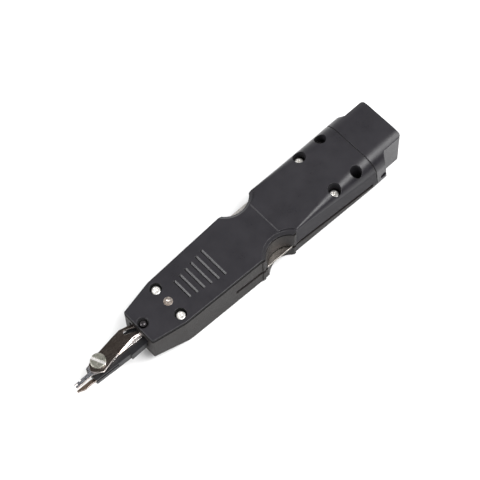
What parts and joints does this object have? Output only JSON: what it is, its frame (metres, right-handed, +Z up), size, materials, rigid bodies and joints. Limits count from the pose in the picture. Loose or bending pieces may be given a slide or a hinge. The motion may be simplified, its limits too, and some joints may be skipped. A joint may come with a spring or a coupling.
{
  "type": "punch down tool",
  "caption": "Hand punch down tool with a spring-loaded nose carrying an insertion blade and a lever-driven scissor cutter, and a blade and wire hook that fold out of the handle.",
  "frame": {"origin": "middle of the tool's footprint, on the flat underside it lies on", "axes": "+X towards the working tip, +Y towards the release blade's side, +Z up through the cover with the screws"},
  "size_m": [0.19, 0.0332, 0.0233],
  "materials": {
    "case_plastic": "fine matt moulded texture",
    "nose_plastic": "smooth moulded",
    "zinc": "bright zinc plating",
    "blade_steel": "ground and polished",
    "dark_steel": "dark oiled"
  },
  "bodies": {
    "case": {"front_cover": "case_plastic", "rear_cover": "case_plastic", "lower_shell": "case_plastic", "end_cap": "case_plastic", "front_case_screws": "zinc", "rear_case_screws": "zinc", "cam_pin": "dark_steel", "guide_rivet": "dark_steel", "blade_pivot_pin": "dark_steel", "hook_pivot_pin": "dark_steel", "blade_friction_washer": "zinc", "hook_friction_washer": "zinc", "spring_seat": "nose_plastic", "return_spring": "dark_steel"},
    "carrier": {"nose_block": "nose_plastic", "pivot_nut": "zinc", "pivot_screw": "zinc", "insertion_blade": "blade_steel", "blade_dowel": "blade_steel", "plunger_rod": "zinc", "retaining_clip": "dark_steel"},
    "cutter": {"pivot_bush": "blade_steel", "cutter_lever": "blade_steel", "scissor_blade": "blade_steel"},
    "blade": {"release_blade": "blade_steel"},
    "hook": {"wire_hook": "blade_steel"}
  },
  "joints": [
    {"name": "carrier_slide", "type": "slide", "parent": "case", "child": "carrier", "axis": [-1, 0, 0], "range_m": [0, 0.0075], "stiffness_N_per_m": 3000, "springref_m": -0.003, "deforming": ["return_spring"]},
    {"name": "cutter_pivot", "type": "hinge", "parent": "carrier", "child": "cutter", "pos_m": [0.0795, -0.002, 0.0164], "axis": [0, 0, -1], "range_deg": [0, 13.01]},
    {"name": "blade_fold", "type": "hinge", "parent": "case", "child": "blade", "pos_m": [-0.06539, 0.0118, 0.0057], "axis": [-0.0628, 0, 0.998], "range_deg": [0, 105]},
    {"name": "hook_fold", "type": "hinge", "parent": "case", "child": "hook", "pos_m": [-0.0665, -0.0118, 0.014], "axis": [0, 0, -1], "range_deg": [0, 105]}
  ],
  "couplings": [
    {"joint": "cutter_pivot", "follows": "carrier_slide", "rad_per_m": 30.252}
  ]
}
